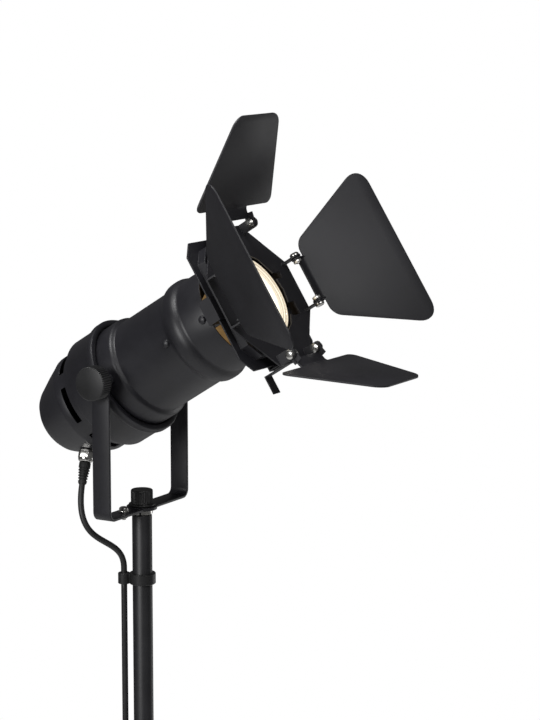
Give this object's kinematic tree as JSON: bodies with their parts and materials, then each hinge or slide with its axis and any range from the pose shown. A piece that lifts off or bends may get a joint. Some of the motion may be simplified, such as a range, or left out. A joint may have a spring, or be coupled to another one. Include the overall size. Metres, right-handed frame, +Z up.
{
  "type": "tripod floor lamp",
  "caption": "Spotlight-style floor lamp: tilting can head with barn doors in a yoke on a telescopic folding tripod stand, with lead, floor switch and plug.",
  "frame": {"origin": "on the floor, in the middle of the box round the stand's footprint, which is between the column and the front leg", "axes": "+Z up; the head points towards -Y and looks up; +X is on the right as one faces the lens"},
  "size_m": [0.4754, 0.414, 1.5676],
  "materials": {
    "satin_black_paint": "satin black powder coat",
    "black_plastic": "fine-textured moulded plastic",
    "black_rubber": "matte",
    "bright_steel": "bright zinc and nickel plate",
    "white_ceramic": null,
    "lit_glass": "pressed glass reflector lamp, lit"
  },
  "bodies": {
    "stand": {"column": "satin_black_paint", "height_collar": "black_plastic", "leg_hub": "black_plastic", "cord_clip_lower": "black_plastic", "cord_height": "black_rubber", "cord_floor": "black_rubber", "cord_coil": "black_rubber", "switch_body": "black_plastic", "plug": "black_plastic"},
    "mast": {"mast": "satin_black_paint", "cord_clip_middle": "black_plastic", "cord_mast": "black_rubber", "spring_washer": "bright_steel"},
    "pan_nut": {"pan_nut": "black_plastic"},
    "yoke": {"yoke": "satin_black_paint", "earth_screw": "bright_steel", "cord_clip_upper": "black_plastic", "cord_head": "black_rubber"},
    "head": {"barrel": "satin_black_paint", "rear_cap": "satin_black_paint", "lamp_carrier": "bright_steel", "lamp_holder": "white_ceramic", "lamp": "lit_glass", "inner_lead": "black_rubber", "channel_clip_left": "satin_black_paint", "channel_clip_right": "satin_black_paint", "channel_clip_bottom": "satin_black_paint", "slide_plate": "satin_black_paint", "door_frame": "satin_black_paint", "hinge_bolt_right_a": "bright_steel", "hinge_bolt_right_b": "bright_steel", "hinge_bolt_top_a": "bright_steel", "hinge_bolt_top_b": "bright_steel", "hinge_bolt_left_a": "bright_steel", "hinge_bolt_left_b": "bright_steel", "hinge_bolt_bottom_a": "bright_steel", "hinge_bolt_bottom_b": "bright_steel", "cable_gland": "bright_steel", "gland_grip": "black_rubber", "tilt_stud_left": "satin_black_paint", "tilt_stud_right": "satin_black_paint"},
    "tilt_knob_left": {"tilt_knob_left": "black_plastic"},
    "tilt_knob_right": {"tilt_knob_right": "black_plastic"},
    "height_screw": {"height_screw": "black_plastic"},
    "brace_collar": {"brace_collar": "black_plastic"},
    "switch_button": {"switch_button": "black_plastic"},
    "leaf_right": {"leaf_right": "satin_black_paint"},
    "leaf_top": {"leaf_top": "satin_black_paint"},
    "leaf_left": {"leaf_left": "satin_black_paint"},
    "leaf_bottom": {"leaf_bottom": "satin_black_paint"},
    "leg_1": {"leg_1": "satin_black_paint", "foot_1": "black_rubber"},
    "brace_1": {"brace_1": "satin_black_paint"},
    "leg_2": {"leg_2": "satin_black_paint", "foot_2": "black_rubber"},
    "brace_2": {"brace_2": "satin_black_paint"},
    "leg_3": {"leg_3": "satin_black_paint", "foot_3": "black_rubber"},
    "brace_3": {"brace_3": "satin_black_paint"}
  },
  "joints": [
    {"name": "mast_height", "type": "slide", "parent": "stand", "child": "mast", "axis": [0, 0, 1], "range_m": [-0.24, 0], "deforming": ["cord_height"]},
    {"name": "yoke_pan", "type": "hinge", "parent": "mast", "child": "yoke", "pos_m": [0, 0.0663, 1.3106], "axis": [0, 0, 1], "range_deg": [-120, 120], "deforming": ["cord_mast"]},
    {"name": "pan_nut_turn", "type": "hinge", "parent": "mast", "child": "pan_nut", "pos_m": [0, 0.0663, 1.3106], "axis": [0, 0, 1], "range_deg": [0, 360]},
    {"name": "head_tilt", "type": "hinge", "parent": "yoke", "child": "head", "pos_m": [0, 0.0663, 1.4], "axis": [-1, 0, 0], "range_deg": [-72, 38], "deforming": ["cord_head"]},
    {"name": "tilt_knob_left_turn", "type": "hinge", "parent": "head", "child": "tilt_knob_left", "pos_m": [-0.05, 0.0663, 1.4], "axis": [-1, 0, 0], "range_deg": [0, 360]},
    {"name": "tilt_knob_right_turn", "type": "hinge", "parent": "head", "child": "tilt_knob_right", "pos_m": [0.05, 0.0663, 1.4], "axis": [1, 0, 0], "range_deg": [0, 360]},
    {"name": "leaf_right_hinge", "type": "hinge", "parent": "head", "child": "leaf_right", "pos_m": [0.0445, -0.03123, 1.46094], "axis": [0, 0.5299, 0.848], "range_deg": [-75, 38]},
    {"name": "leaf_top_hinge", "type": "hinge", "parent": "head", "child": "leaf_top", "pos_m": [0, -0.00764, 1.49868], "axis": [-1, 0, 0], "range_deg": [-80.5, 34.5]},
    {"name": "leaf_left_hinge", "type": "hinge", "parent": "head", "child": "leaf_left", "pos_m": [-0.0445, -0.03123, 1.46094], "axis": [0, -0.5299, -0.848], "range_deg": [-58, 55]},
    {"name": "leaf_bottom_hinge", "type": "hinge", "parent": "head", "child": "leaf_bottom", "pos_m": [0, -0.05481, 1.4232], "axis": [1, 0, 0], "range_deg": [-77.5, 37.5]},
    {"name": "height_screw_turn", "type": "hinge", "parent": "stand", "child": "height_screw", "pos_m": [0, 0.0663, 0.86825], "axis": [0, -1, 0], "range_deg": [0, 360]},
    {"name": "leg_1_fold", "type": "hinge", "parent": "stand", "child": "leg_1", "pos_m": [0, 0.0423, 0.41396], "axis": [1, 0, 0], "range_deg": [0, 28]},
    {"name": "brace_1_pivot", "type": "hinge", "parent": "leg_1", "child": "brace_1", "pos_m": [0, -0.03317, 0.26124], "axis": [1, 0, 0], "range_deg": [-56, 0]},
    {"name": "leg_2_fold", "type": "hinge", "parent": "stand", "child": "leg_2", "pos_m": [0.02079, 0.0783, 0.41396], "axis": [-0.5, 0.866, 0], "range_deg": [0, 28]},
    {"name": "brace_2_pivot", "type": "hinge", "parent": "leg_2", "child": "brace_2", "pos_m": [0.08615, 0.11604, 0.26124], "axis": [-0.5, 0.866, 0], "range_deg": [-56, 0]},
    {"name": "leg_3_fold", "type": "hinge", "parent": "stand", "child": "leg_3", "pos_m": [-0.02079, 0.0783, 0.41396], "axis": [-0.5, -0.866, 0], "range_deg": [0, 28]},
    {"name": "brace_3_pivot", "type": "hinge", "parent": "leg_3", "child": "brace_3", "pos_m": [-0.08615, 0.11604, 0.26124], "axis": [-0.5, -0.866, 0], "range_deg": [-56, 0]},
    {"name": "brace_collar_slide", "type": "slide", "parent": "stand", "child": "brace_collar", "axis": [0, 0, -1], "range_m": [0, 0.03512]},
    {"name": "switch_button_press", "type": "slide", "parent": "stand", "child": "switch_button", "axis": [0, 0, -1], "range_m": [0, 0.0024], "stiffness_N_per_m": 400, "springref_m": -0.002}
  ],
  "couplings": [
    {"joint": "brace_1_pivot", "follows": "leg_1_fold", "ratio": -2},
    {"joint": "leg_2_fold", "follows": "leg_1_fold", "ratio": 1},
    {"joint": "brace_2_pivot", "follows": "leg_1_fold", "ratio": -2},
    {"joint": "leg_3_fold", "follows": "leg_1_fold", "ratio": 1},
    {"joint": "brace_3_pivot", "follows": "leg_1_fold", "ratio": -2},
    {"joint": "brace_collar_slide", "follows": "leg_1_fold", "m_per_rad": 0.071849}
  ]
}
